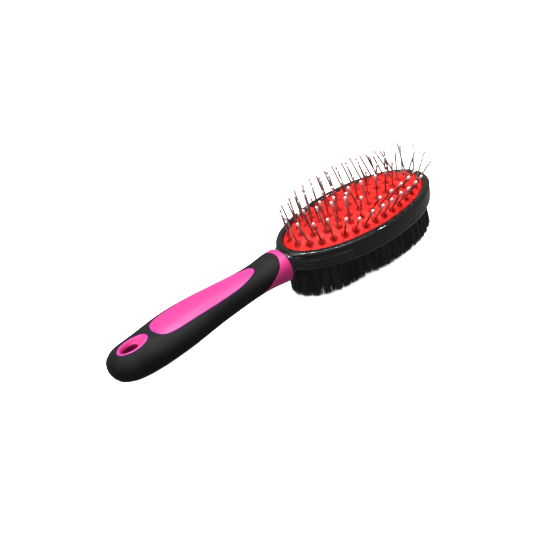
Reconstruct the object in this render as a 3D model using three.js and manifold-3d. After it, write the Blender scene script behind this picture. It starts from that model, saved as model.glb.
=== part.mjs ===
// Double-sided grooming brush: steel pins in a domed rubber cushion on the
// upper face, dense bristle tufts on the lower face, moulded two-colour handle.
// Millimetres. +X runs along the brush towards the tip of the head, +Z is the
// pin side. The brush lies level on its bristle tips at z = 0, and x = 0 is
// half way between the butt of the handle and the tip of the head.
import * as THREE from 'three';
import { mergeVertices } from 'three/addons/utils/BufferGeometryUtils.js';
import Module from 'manifold-3d';

// ------------------------------------------------------- driving dimensions
const HEAD_X = 57.2;          // centre of the oval head
const HEAD_A = 54.0;          // half length of the head's oval
const HEAD_B = 29.0;          // half width of the head's oval
const GAP = 0.3;              // clearance between neighbouring mouldings

const Z_PLATE_LOW = 19.2;     // underside of the bristle plate
const Z_PLATE_TOP = 21.7;
const Z_BODY_LOW = 22.0;      // head body sits on the plate
const Z_BODY_TOP = 28.3;      // rim of the body's wall, under the bezel's skirt
const Z_SEAT = 27.3;          // ledge that carries the cushion's flange
const Z_FLOOR = 24.2;         // floor of the air chamber
const Z_SKIRT = 28.6;         // lower edge of the bezel
const Z_LIP = 29.0;           // underside of the bezel's lip
const BEZEL_W = 4.6;          // bezel's width, outer to inner edge
const SKIRT_W = 2.0;

const RIM_O = BEZEL_W + GAP;  // cushion's edge, measured in from the outer oval
const RIM_Z = 29.6;           // height of the cushion's edge
const DOME_H = 5.4;           // rise of the cushion above its edge
const DOME_P = 3.2;           // fullness of the dome
const SKIN = 1.5;             // cushion skin, measured vertically
const FLANGE_O = SKIRT_W + GAP;
const FLANGE_Z0 = 27.6, FLANGE_Z1 = 28.7;

const PIN_R = 0.5;            // wire radius
const PIN_L = 17.5;           // cushion surface to the end of the ball tip
const ELBOW = 0.35;           // height of the bend above the cushion's surface
const LEAN_MAX = 0.66;
const BALL_R = 0.82;
const PIN_HOLE_R = 1.18;
const CROWN_W = 1.4, CROWN_T = 0.8;   // strip under the skin that joins the wires
// inset of each ring of pins from the cushion's edge, number of pins, and start
// as a fraction of one pin pitch from the tip of the head
const PIN_RINGS = [
  { name: 'outer', inset: 3.44, n: 32, phase: 0.5, parts: 4, drop: 2.75 },
  { name: 'second', inset: 9.5, n: 24, phase: 0.0, parts: 4, drop: 2.5 },
  { name: 'third', inset: 15.0, n: 20, phase: 0.5, parts: 4, drop: 2.35 },
];
// the wires fan out unevenly: x and y parts of each wire's direction above its
// bend, anticlockwise from the tip of the head
const LEAN = {
  outer: [[0.17, 0.43], [-0.27, 0.33], [-0.38, -0.03], [-0.27, 0.21], [-0.17, 0.32], [-0.21, 0.19],
    [-0.16, 0.25], [-0.18, 0.13], [-0.18, 0.09], [-0.05, 0.17], [-0.08, 0.09], [-0.09, 0.13],
    [-0.15, 0.01], [-0.23, 0.06], [-0.14, 0.06], [-0.09, 0.09], [-0.12, 0.25], [-0.34, -0.01],
    [-0.34, -0.18], [-0.28, -0.21], [-0.21, -0.47], [-0.23, -0.60], [-0.09, -0.60], [-0.06, -0.60],
    [-0.05, -0.58], [0.01, -0.57], [-0.01, -0.60], [0.03, -0.60], [0.02, -0.60], [0.60, -0.27],
    [0.55, 0.02], [0.37, 0.26]],
  second: [[0.32, 0.31], [-0.09, 0.60], [-0.27, 0.18], [-0.20, 0.20], [-0.17, 0.20], [-0.16, 0.17],
    [-0.14, 0.12], [-0.10, 0.11], [-0.07, 0.10], [-0.10, 0.08], [-0.14, 0.06], [-0.14, 0.18],
    [-0.13, -0.27], [-0.18, 0.06], [-0.19, 0.06], [-0.14, 0.01], [-0.11, -0.06], [-0.16, -0.34],
    [-0.07, -0.64], [0.01, -0.65], [0.08, -0.64], [0.08, -0.64], [0.07, -0.64], [0.54, -0.02]],
  third: [[0.02, 0.17], [-0.13, 0.15], [-0.17, 0.14], [-0.16, 0.15], [-0.15, 0.13], [-0.13, 0.11],
    [-0.08, 0.11], [-0.09, 0.09], [-0.13, 0.06], [-0.14, 0.03], [-0.17, 0.00], [-0.18, -0.05],
    [-0.15, -0.13], [-0.15, -0.20], [-0.28, 0.08], [-0.23, -0.01], [-0.12, -0.17], [-0.11, -0.25],
    [-0.04, -0.16], [0.15, 0.09]],
  centre: [[-0.16, 0.01], [-0.14, -0.02], [-0.18, -0.06], [-0.20, -0.06], [-0.16, -0.12], [-0.10, -0.21],
    [-0.04, -0.21], [0.03, -0.07]],
};
// wires near the tip of the head that stand prouder than the rest
const PROUD = { outer: { 0: 2, 29: 1, 30: 1.4, 31: 2 }, second: { 0: 0.8, 1: 0.8, 2: 0.4, 23: 0.6 }, third: {}, centre: {} };
const CENTRE_PINS = [-25.9, -18.5, -11.1, -3.7, 3.7, 11.1, 18.5, 25.9];

const BRISTLE_TOP = Z_PLATE_LOW - GAP;
// semi-axes of each ring of tufts at the plate, tuft count, splay at the tips
const TUFT_RINGS = [
  { name: 'outer', a: 49.6, b: 21.0, n: 44, parts: 6, splay: 1.2 },
  { name: 'second', a: 43.6, b: 15.5, n: 36, parts: 4, splay: 0.8 },
  { name: 'third', a: 37.4, b: 10.0, n: 30, parts: 4, splay: 0.4 },
];
const TUFT_W = 1.75, TUFT_NECK = 0.95;
const CENTRE_ROW = { half: 29.4, b: 4.2, n: 24, parts: 2 };

// handle stations: x, centre height, half width, half thickness
const HANDLE = [
  [-111.2, 19.2, 0.5, 0.4], [-110.6, 19.15, 4.6, 3.2], [-109.0, 19.15, 7.6, 5.4],
  [-106.6, 19.2, 9.6, 6.9], [-102.9, 19.25, 11.6, 8.0], [-97.1, 19.15, 12.7, 8.8],
  [-89.4, 19.4, 13.8, 8.9], [-77.8, 20.6, 15.1, 8.7], [-63.3, 21.9, 14.8, 8.6],
  [-48.9, 22.6, 12.8, 8.4], [-34.4, 22.7, 11.1, 7.9], [-21.9, 22.8, 10.3, 7.4],
  [-12.2, 23.0, 10.4, 7.7], [-4.5, 23.1, 10.9, 8.7], [1.0, 22.8, 10.6, 9.4],
];
const HANDLE_N = 2.25;        // squareness of the handle's section
const GRIP_T = 1.5;           // rubber thickness
const X_COLLAR = 1.0;         // face of the collar
// front edge of the rubber: x against height
const GRIP_EDGE = [[36, -1.6], [32, -2.6], [30.2, -4.4], [28.5, -5.9], [26.4, -8.3],
  [24.2, -11.3], [22, -14.0], [20.2, -16.7], [17, -20.5], [14.5, -23.0], [10, -26.5]];
// window in the upper face of the rubber: x and half width
const WINDOW = [[-83.4, 0], [-83.1, 2.2], [-82.1, 5.0], [-80.4, 7.0], [-78.0, 8.3],
  [-74.6, 9.1], [-70, 9.5], [-63, 9.6], [-55, 9.5], [-47, 9.1], [-39.5, 8.4],
  [-32.1, 7.4], [-25.7, 5.9], [-21.3, 4.3], [-18.7, 2.8], [-17.4, 1.3], [-17.0, 0]];
const EYE = { x: -95.2, a: 9.6, b: 5.6 };      // pink oval round the hang hole
const HOLE = { x: -97.4, a: 4.6, b: 2.8 };     // hang hole
const SINK_D = 1.8;                            // depth of its countersink
const SOCKET_R = 5.3, TANG_R = 5.0, TANG_X = -24, SOCKET_X = -25;

const PINK = 0xe0348f, BLACK_RUBBER = 0x262628, BLACK_GLOSS = 0x121213,
  RED = 0xe3221c, STEEL = 0xa9abb0, BRISTLE = 0x161616;

// ------------------------------------------------------------------ helpers
const wasm = await Module();
wasm.setup();
const V = (x, y, z) => new THREE.Vector3(x, y, z);

function solid(geo) {
  let g = geo.clone();
  for (const k of Object.keys(g.attributes)) if (k !== 'position') g.deleteAttribute(k);
  g = mergeVertices(g, 1e-4);
  const idx = Array.from(g.index.array), keep = [];
  for (let i = 0; i < idx.length; i += 3) {
    const [a, b, c] = [idx[i], idx[i + 1], idx[i + 2]];
    if (a !== b && b !== c && a !== c) keep.push(a, b, c);
  }
  return new wasm.Manifold(new wasm.Mesh({
    numProp: 3,
    vertProperties: new Float32Array(g.attributes.position.array),
    triVerts: new Uint32Array(keep),
  }));
}

function geometry(man) {
  const m = man.getMesh();
  const g = new THREE.BufferGeometry();
  g.setAttribute('position', new THREE.BufferAttribute(new Float32Array(m.vertProperties), 3));
  g.setIndex(new THREE.BufferAttribute(new Uint32Array(m.triVerts), 1));
  g.computeVertexNormals();
  return g;
}

// closed skin over a stack of rings, all with the same number of points; it may
// end in a point
function loft(rings, tip) {
  const n = rings[0].length, pos = [], tri = [];
  for (const r of rings) for (const p of r) pos.push(p.x, p.y, p.z);
  for (let i = 0; i + 1 < rings.length; i++) {
    for (let j = 0; j < n; j++) {
      const k = (j + 1) % n, a = i * n + j, b = i * n + k, c = a + n, d = b + n;
      tri.push(a, b, d, a, d, c);
    }
  }
  const cap = (r, base, flip, at) => {
    const c = new THREE.Vector3();
    if (at) c.copy(at);
    else {
      for (const p of r) c.add(p);
      c.divideScalar(n);
    }
    const ci = pos.length / 3;
    pos.push(c.x, c.y, c.z);
    for (let j = 0; j < n; j++) {
      const k = (j + 1) % n;
      if (flip) tri.push(ci, base + k, base + j); else tri.push(ci, base + j, base + k);
    }
  };
  cap(rings[0], 0, true);
  cap(rings[rings.length - 1], (rings.length - 1) * n, false, tip);
  const g = new THREE.BufferGeometry();
  g.setAttribute('position', new THREE.BufferAttribute(new Float32Array(pos), 3));
  g.setIndex(tri);
  return g;
}

// straight prism over a flat outline
function prism(points, z0, z1) {
  const g = new THREE.ExtrudeGeometry(new THREE.Shape(points), { depth: z1 - z0, bevelEnabled: false });
  g.translate(0, 0, z0);
  return g;
}

function grow(points, d) {
  const n = points.length;
  return points.map((p, i) => {
    const a = points[(i + n - 1) % n], b = points[(i + 1) % n];
    const t = new THREE.Vector2(b.x - a.x, b.y - a.y).normalize();
    return new THREE.Vector2(p.x + t.y * d, p.y - t.x * d);
  });
}

function monotone(xs, ys) {
  const n = xs.length, h = [], s = [], m = new Array(n).fill(0);
  for (let i = 0; i + 1 < n; i++) { h.push(xs[i + 1] - xs[i]); s.push((ys[i + 1] - ys[i]) / h[i]); }
  m[0] = s[0]; m[n - 1] = s[n - 2];
  for (let i = 1; i + 1 < n; i++) {
    if (s[i - 1] * s[i] <= 0) m[i] = 0;
    else {
      const w1 = 2 * h[i] + h[i - 1], w2 = h[i] + 2 * h[i - 1];
      m[i] = (w1 + w2) / (w1 / s[i - 1] + w2 / s[i]);
    }
  }
  return (x) => {
    x = Math.min(Math.max(x, xs[0]), xs[n - 1]);
    let i = 0;
    while (i < n - 2 && x > xs[i + 1]) i++;
    const t = (x - xs[i]) / h[i], t2 = t * t, t3 = t2 * t;
    return (2 * t3 - 3 * t2 + 1) * ys[i] + (t3 - 2 * t2 + t) * h[i] * m[i]
      + (-2 * t3 + 3 * t2) * ys[i + 1] + (t3 - t2) * h[i] * m[i + 1];
  };
}

// ------------------------------------------------------------- oval lofting
function oval(o, z, n, a = HEAD_A, b = HEAD_B) {
  const r = [];
  for (let i = 0; i < n; i++) {
    const t = (2 * Math.PI * i) / n;
    r.push(V(HEAD_X + (a - o) * Math.cos(t), (b - o) * Math.sin(t), z));
  }
  return r;
}
const ovalLoft = (profile, n = 40) => solid(loft(profile.map(([o, z]) => oval(o, z, n))));

// height of the cushion at an inset from its edge
const domeZ = (i) => RIM_Z + DOME_H * (1 - Math.pow(1 - i / (HEAD_B - RIM_O), DOME_P));

// points spaced evenly along an ellipse, from the tip of the head
function alongOval(a, b, n, phase) {
  const N = 2880, len = [0], pts = [];
  for (let i = 0; i <= N; i++) {
    const t = (2 * Math.PI * i) / N;
    pts.push([a * Math.cos(t), b * Math.sin(t)]);
    if (i) len.push(len[i - 1] + Math.hypot(pts[i][0] - pts[i - 1][0], pts[i][1] - pts[i - 1][1]));
  }
  const total = len[N], out = [];
  for (let k = 0; k < n; k++) {
    const s = ((k + phase) / n) * total;
    let i = 1;
    while (len[i] < s) i++;
    const f = (s - len[i - 1]) / (len[i] - len[i - 1]);
    const x = pts[i - 1][0] + f * (pts[i][0] - pts[i - 1][0]);
    const y = pts[i - 1][1] + f * (pts[i][1] - pts[i - 1][1]);
    const nx = x / (a * a), ny = y / (b * b), q = Math.hypot(nx, ny);
    out.push({ x: HEAD_X + x, y, nx: nx / q, ny: ny / q });
  }
  return out;
}

// ------------------------------------------------------------------ handle
const hx = HANDLE.map((s) => s[0]);
const hz = monotone(hx, HANDLE.map((s) => s[1]));
const hw = monotone(hx, HANDLE.map((s) => s[2]));
const ht = monotone(hx, HANDLE.map((s) => s[3]));

function handleRing(x, inset, n, at = x) {
  const w = Math.max(hw(at) - inset, 0.25), t = Math.max(ht(at) - inset, 0.25), zc = hz(at), e = 2 / HANDLE_N, r = [];
  for (let i = 0; i < n; i++) {
    const a = (2 * Math.PI * i) / n, c = Math.cos(a), s = Math.sin(a);
    r.push(V(x, w * Math.sign(c) * Math.abs(c) ** e, zc + t * Math.sign(s) * Math.abs(s) ** e));
  }
  return r;
}
function handleSolid(inset, n, xs) {
  return solid(loft(xs.map((x) => handleRing(x, inset, n))));
}
const OUTER_X = [-111.2, -110.7, -109.2, -106.8, -103, -97.5, -90, -81, -71, -60, -49, -38, -27, -17, -9, -3.5, X_COLLAR];
const outer = handleSolid(0, 24, OUTER_X);
const INNER_X = [-109.3, -107, -102, -94, -82, -68, -52, -36, -20, -8, X_COLLAR];
const coreBlank = handleSolid(GRIP_T + GAP, 16, INNER_X);
const gripBore = handleSolid(GRIP_T, 16, INNER_X.map((x, i) => (i ? x : x - GAP)));

const windowLine = [
  ...WINDOW.map(([x, y]) => new THREE.Vector2(x, -y)),
  ...WINDOW.slice(1, -1).reverse().map(([x, y]) => new THREE.Vector2(x, y)),
];
const ellipse = (e, n, d = 0) => Array.from({ length: n }, (_, i) => {
  const t = (2 * Math.PI * i) / n;
  return new THREE.Vector2(e.x + (e.a + d) * Math.cos(t), (e.b + d) * Math.sin(t));
});

// everything ahead of the rubber's front edge, as a slab across the handle
function collarZone(back) {
  const pts = GRIP_EDGE.map(([z, x]) => new THREE.Vector2(x - back, z));
  pts.push(new THREE.Vector2(40, 10), new THREE.Vector2(40, 36));
  const g = new THREE.ExtrudeGeometry(new THREE.Shape(pts), { depth: 60, bevelEnabled: false });
  g.translate(0, 0, -30);
  g.rotateX(Math.PI / 2);
  return solid(g);
}

const windowCut = solid(prism(windowLine, 22, 50));
const eyeCut = solid(prism(ellipse(EYE, 28), 0, 50));
const holeCut = solid(prism(ellipse(HOLE, 20), 0, 50));

function countersink(top) {
  const at = (e, z) => ellipse(e, 20).map((p) => V(p.x, p.y, z));
  const s = top ? 1 : -1, zc = hz(HOLE.x) + s * (ht(HOLE.x) + 0.25);
  const wide = { x: HOLE.x + 2.0, a: HOLE.a + 3.4, b: HOLE.b + 1.6 };
  const rings = [at(HOLE, zc - s * (SINK_D + 0.4)), at(wide, zc), at(wide, zc + s * 6)];
  return solid(loft(top ? rings : rings.reverse()));
}

const socket = new THREE.CylinderGeometry(SOCKET_R, SOCKET_R, X_COLLAR + 1 - SOCKET_X, 16);
socket.rotateZ(Math.PI / 2);
socket.translate((X_COLLAR + 1 + SOCKET_X) / 2, 0, hz(-10));
const socketCut = solid(socket);

let core = coreBlank
  .add(outer.intersect(windowCut))
  .add(outer.intersect(eyeCut))
  .add(outer.intersect(collarZone(0)))
  .subtract(holeCut).subtract(countersink(true)).subtract(countersink(false))
  .subtract(socketCut);

const grip = outer.subtract(gripBore)
  .subtract(solid(prism(grow(windowLine, GAP), 22 - GAP, 50)))
  .subtract(solid(prism(ellipse(EYE, 28, GAP), 0, 50)))
  .subtract(collarZone(0.45));

// --------------------------------------------------------------- head parts
const plate = ovalLoft([[1.5, Z_PLATE_LOW], [0.75, Z_PLATE_LOW + 0.35], [0.45, Z_PLATE_LOW + 1.0], [0.35, Z_PLATE_TOP]]);

const tray = ovalLoft([[0.45, Z_BODY_LOW], [0.2, Z_BODY_LOW + 0.5], [0.2, Z_BODY_TOP - 0.4], [0.5, Z_BODY_TOP]])
  .subtract(ovalLoft([[SKIRT_W, Z_SEAT], [SKIRT_W, Z_LIP]]))
  .subtract(ovalLoft([[RIM_O + 1.2, Z_FLOOR], [RIM_O + 0.6, Z_SEAT + 1]]));

// neck between the collar and the oval, with the tang that enters the handle
const neckRing = (x, w, t, z, n = 20) => {
  const r = [];
  for (let i = 0; i < n; i++) {
    const a = (2 * Math.PI * i) / n;
    r.push(V(x, w * Math.cos(a), z + t * Math.sin(a)));
  }
  return r;
};
const neck = solid(loft([
  neckRing(X_COLLAR + GAP, 8.7, 8.0, 22.9), neckRing(2.6, 9.0, 7.8, 23.0), neckRing(4.2, 10.0, 7.0, 23.6),
  neckRing(6.5, 12.2, 6.0, 24.2), neckRing(9.5, 14.2, 5.2, 24.4), neckRing(13, 15.0, 4.0, 24.4),
]));
const tangGeo = new THREE.CylinderGeometry(TANG_R, TANG_R, 2.6 - TANG_X, 16);
tangGeo.rotateZ(Math.PI / 2);
tangGeo.translate((2.6 + TANG_X) / 2, 0, hz(-10));
const body = tray
  .add(neck
    .subtract(ovalLoft([[-GAP, 5], [-GAP, Z_BODY_LOW]]))
    .subtract(ovalLoft([[-GAP, Z_BODY_TOP], [-GAP, 45]]))
    .subtract(ovalLoft([[SKIRT_W, Z_SEAT], [SKIRT_W, Z_LIP]]))
    .subtract(ovalLoft([[RIM_O + 1.2, Z_FLOOR], [RIM_O + 0.6, Z_SEAT + 1]])))
  .add(solid(tangGeo));

const bezel = ovalLoft([[0, Z_SKIRT], [0, 29.1], [0.3, 29.8], [1.0, 30.35], [2.5, 30.6], [3.8, 30.35], [BEZEL_W, 29.7]])
  .subtract(ovalLoft([[SKIRT_W, 20], [SKIRT_W, Z_LIP]]))
  .subtract(ovalLoft([[BEZEL_W, 28], [BEZEL_W, 31]]));

// ------------------------------------------------------------ pins, cushion
function wireDir([x, y]) {
  const k = Math.min(1, LEAN_MAX / Math.hypot(x, y));
  return V(x * k, y * k, Math.sqrt(1 - (x * x + y * y) * k * k));
}
function pinFrames(ring) {
  const a = HEAD_A - RIM_O - ring.inset, b = HEAD_B - RIM_O - ring.inset;
  return alongOval(a, b, ring.n, ring.phase).map((p, i) => ({
    base: V(p.x, p.y, domeZ(ring.inset)),
    dir: wireDir(LEAN[ring.name][i]),
    long: PIN_L + (PROUD[ring.name][i] ?? 0),
  }));
}
const pinSets = PIN_RINGS.map((r) => ({ ...r, pins: pinFrames(r) }));
pinSets.push({
  name: 'centre', parts: 2, drop: 2.3, open: true,
  pins: CENTRE_PINS.map((x, i) => ({ base: V(HEAD_X + x, 0, domeZ(HEAD_B - RIM_O)), dir: wireDir(LEAN.centre[i]), long: PIN_L })),
});

// ring of n points square to a direction
function wireRing(centre, dir, r, n = 5) {
  const u = V(1, 0, 0).addScaledVector(dir, -dir.x).normalize(), v = dir.clone().cross(u), out = [];
  for (let i = 0; i < n; i++) {
    const t = (2 * Math.PI * i) / n;
    out.push(centre.clone().addScaledVector(u, r * Math.cos(t)).addScaledVector(v, r * Math.sin(t)));
  }
  return out;
}
// wire upright through the skin, bent just above it, with a ball at its end
function pinSolid(pin, drop) {
  const up = V(0, 0, 1), bend = pin.base.clone().addScaledVector(up, ELBOW), L = pin.long - ELBOW;
  const at = (h) => bend.clone().addScaledVector(pin.dir, h);
  return solid(loft([
    wireRing(pin.base.clone().addScaledVector(up, -drop), up, PIN_R),
    wireRing(bend, up.clone().add(pin.dir).normalize(), PIN_R),
    wireRing(at(L - 2.3), pin.dir, PIN_R), wireRing(at(L - 1.0), pin.dir, BALL_R),
    wireRing(at(L - 0.2), pin.dir, BALL_R * 0.7)], at(L)));
}
// flat strip under the cushion's skin, mitred at each wire
function crown(pins, drop) {
  const c = pins.map((p) => V(p.base.x, p.base.y, p.base.z - drop));
  const rings = c.map((p, i) => {
    const a = c[Math.max(i - 1, 0)], b = c[Math.min(i + 1, c.length - 1)];
    const t = V(b.x - a.x, b.y - a.y, 0).normalize();
    const q = p.clone();
    if (i === 0) q.addScaledVector(t, -CROWN_W * 0.6);
    if (i === c.length - 1) q.addScaledVector(t, CROWN_W * 0.6);
    const n = V(t.y, -t.x, 0).multiplyScalar(CROWN_W / 2), h = V(0, 0, CROWN_T / 2);
    return [q.clone().sub(n).sub(h), q.clone().sub(n).add(h), q.clone().add(n).add(h), q.clone().add(n).sub(h)];
  });
  return solid(loft(rings));
}

const cushion = ovalLoft([[FLANGE_O, FLANGE_Z0], [FLANGE_O, FLANGE_Z1], [RIM_O, FLANGE_Z1], [RIM_O, RIM_Z],
  ...[1.6, 4, 7.5, 12, 18, 23.6].map((i) => [RIM_O + i, domeZ(i)])], 32)
  .subtract(ovalLoft([[RIM_O + 1.6, FLANGE_Z0 - 1], [RIM_O + 1.6, RIM_Z - 0.2],
    ...[4, 7.5, 12, 18, 23.6].map((i) => [RIM_O + i, domeZ(i) - SKIN])], 32))
  .subtract(wasm.Manifold.union(pinSets.flatMap((set) => set.pins.map((pin) =>
    solid(loft([-5, 4].map((h) => wireRing(V(pin.base.x, pin.base.y, pin.base.z + h), V(0, 0, 1), PIN_HOLE_R, 4))))))));

// ----------------------------------------------------------------- assembly
const brush = new THREE.Group();
const mat = {
  pink: () => new THREE.MeshStandardMaterial({ color: PINK, roughness: 0.35, metalness: 0 }),
  grip: () => new THREE.MeshStandardMaterial({ color: BLACK_RUBBER, roughness: 0.75, metalness: 0 }),
  gloss: () => new THREE.MeshStandardMaterial({ color: BLACK_GLOSS, roughness: 0.15, metalness: 0 }),
  red: () => new THREE.MeshStandardMaterial({ color: RED, roughness: 0.55, metalness: 0 }),
  steel: () => new THREE.MeshStandardMaterial({ color: STEEL, roughness: 0.3, metalness: 1 }),
  bristle: () => new THREE.MeshStandardMaterial({ color: BRISTLE, roughness: 0.6, metalness: 0 }),
};
function place(parent, name, geo, material) {
  const m = new THREE.Mesh(geo, material);
  m.name = name;
  parent.add(m);
}

const handle = new THREE.Group();
place(handle, 'handle_core', geometry(core), mat.pink());
place(handle, 'handle_grip', geometry(grip), mat.grip());
brush.add(handle);

const head = new THREE.Group();
place(head, 'head_body', geometry(body), mat.gloss());
place(head, 'bezel_ring', geometry(bezel), mat.gloss());
place(head, 'bristle_plate', geometry(plate), mat.gloss());
place(head, 'pin_cushion', geometry(cushion), mat.red());
brush.add(head);

const LETTER = 'abcdefgh';
const pinGroup = new THREE.Group();
for (const set of pinSets) {
  const per = set.pins.length / set.parts;
  for (let k = 0; k < set.parts; k++) {
    const mine = set.pins.slice(k * per, (k + 1) * per);
    const bits = mine.map((p) => pinSolid(p, set.drop + CROWN_T * 0.3));
    bits.push(crown(mine, set.drop));
    place(pinGroup, `pins_${set.name}_${LETTER[k]}`, geometry(wasm.Manifold.union(bits)), mat.steel());
  }
}
brush.add(pinGroup);

// a run of tufts: scalloped in plan, waisted between tufts, spread at the tips
function tuftRun(centres, splay) {
  const left = [], right = [], n = centres.length;
  for (let i = 0; i < n; i++) {
    const c = centres[i];
    left.push({ c, w: TUFT_W }); right.push({ c, w: -TUFT_W });
    if (i + 1 < n) {
      const d = centres[i + 1];
      const q = Math.hypot(c.nx + d.nx, c.ny + d.ny);
      const m = { x: (c.x + d.x) / 2, y: (c.y + d.y) / 2, nx: (c.nx + d.nx) / q, ny: (c.ny + d.ny) / q };
      left.push({ c: m, w: TUFT_NECK }); right.push({ c: m, w: -TUFT_NECK });
    }
  }
  // rounded ends: push the first and last tuft out along the run
  const t0 = new THREE.Vector2(centres[0].x - centres[1].x, centres[0].y - centres[1].y).normalize().multiplyScalar(TUFT_W * 0.9);
  const t1 = new THREE.Vector2(centres[n - 1].x - centres[n - 2].x, centres[n - 1].y - centres[n - 2].y).normalize().multiplyScalar(TUFT_W * 0.9);
  const line = (z, k, out) => {
    const at = (s) => V(s.c.x + s.c.nx * (s.w * k + out), s.c.y + s.c.ny * (s.w * k + out), z);
    const end = (c, t) => V(c.x + c.nx * out + t.x, c.y + c.ny * out + t.y, z);
    return [...right.map(at), end(centres[n - 1], t1), ...left.slice().reverse().map(at), end(centres[0], t0)];
  };
  const top = line(BRISTLE_TOP, 0.72, 0), low = line(0, 1, splay);
  // orientation: seen from above the outline must run anticlockwise
  let area = 0;
  for (let i = 0; i < low.length; i++) {
    const p = low[i], q = low[(i + 1) % low.length];
    area += p.x * q.y - q.x * p.y;
  }
  if (area < 0) { top.reverse(); low.reverse(); }
  const flat = low.map((p) => new THREE.Vector2(p.x, p.y));
  const faces = THREE.ShapeUtils.triangulateShape(flat, []);
  const m = low.length, pos = [], tri = [];
  for (const p of [...low, ...top]) pos.push(p.x, p.y, p.z);
  for (const [a, b, c] of faces) { tri.push(a, c, b); tri.push(a + m, b + m, c + m); }
  for (let i = 0; i < m; i++) {
    const j = (i + 1) % m;
    tri.push(i, j, j + m, i, j + m, i + m);
  }
  const g = new THREE.BufferGeometry();
  g.setAttribute('position', new THREE.BufferAttribute(new Float32Array(pos), 3));
  g.setIndex(tri);
  return solid(g);
}
const bristles = new THREE.Group();
const runs = TUFT_RINGS.map((r) => ({ ...r, at: alongOval(r.a, r.b, r.n, 0.5) }));
for (const r of runs) {
  for (let k = 0; k < r.parts; k++) {
    const a = Math.round((k * r.n) / r.parts), b = Math.round(((k + 1) * r.n) / r.parts);
    place(bristles, `bristles_${r.name}_${LETTER[k]}`, geometry(tuftRun(r.at.slice(a, b), r.splay)), mat.bristle());
  }
}
for (const [k, s] of [1, -1].entries()) {
  const n = CENTRE_ROW.n / 2, at = [];
  for (let i = 0; i < n; i++) {
    const x = CENTRE_ROW.half * (1 - (2 * i) / (n - 1));
    at.push({ x: HEAD_X + x, y: s * CENTRE_ROW.b * Math.sqrt(Math.max(0.4, 1 - (x / 33) ** 2)), nx: 0, ny: s });
  }
  place(bristles, `bristles_centre_${LETTER[k]}`, geometry(tuftRun(at, 0)), mat.bristle());
}
brush.add(bristles);

export default brush;
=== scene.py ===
import math
import bpy
import bmesh
import numpy as np
from mathutils import Vector, Matrix
from mathutils.geometry import delaunay_2d_cdt


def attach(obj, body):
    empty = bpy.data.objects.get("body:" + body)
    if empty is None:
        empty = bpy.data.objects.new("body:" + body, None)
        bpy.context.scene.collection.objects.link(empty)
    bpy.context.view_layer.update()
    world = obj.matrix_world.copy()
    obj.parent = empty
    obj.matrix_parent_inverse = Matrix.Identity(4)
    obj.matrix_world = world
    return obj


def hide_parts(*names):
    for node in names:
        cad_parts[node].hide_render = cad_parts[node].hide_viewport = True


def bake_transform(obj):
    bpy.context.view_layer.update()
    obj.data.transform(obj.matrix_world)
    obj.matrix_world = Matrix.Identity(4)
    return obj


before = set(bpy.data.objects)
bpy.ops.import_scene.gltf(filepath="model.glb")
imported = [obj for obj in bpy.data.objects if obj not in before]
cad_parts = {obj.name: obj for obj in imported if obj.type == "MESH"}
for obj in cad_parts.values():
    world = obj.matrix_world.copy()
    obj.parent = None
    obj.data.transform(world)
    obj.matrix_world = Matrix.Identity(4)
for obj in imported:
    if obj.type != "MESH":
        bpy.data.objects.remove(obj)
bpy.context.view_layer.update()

rng = np.random.default_rng(20)
scene = bpy.context.scene
MM = 0.001

# ------------------------------------------------------------- dimensions, mm
HEAD_X, HEAD_A, HEAD_B = 57.2, 54.0, 29.0
BEZEL_W, SKIRT_W = 4.6, 2.0
RIM_O, RIM_Z, DOME_H, DOME_P, SKIN = 4.9, 29.6, 5.4, 3.2, 1.5
FLANGE_O, FLANGE_Z0, FLANGE_Z1 = 2.3, 27.6, 28.7
Z_BODY_LOW, Z_BODY_TOP, Z_SEAT, Z_FLOOR, Z_LIP, Z_SKIRT = 22.0, 28.3, 27.3, 24.2, 29.0, 28.6
PIN_R, PIN_L, BALL_R, ELBOW, LEAN_MAX = 0.50, 17.5, 0.80, 0.35, 0.66
PIN_RINGS = [("outer", 3.44, 32, 0.5, 4), ("second", 9.5, 24, 0.0, 4), ("third", 15.0, 20, 0.5, 4)]
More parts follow.
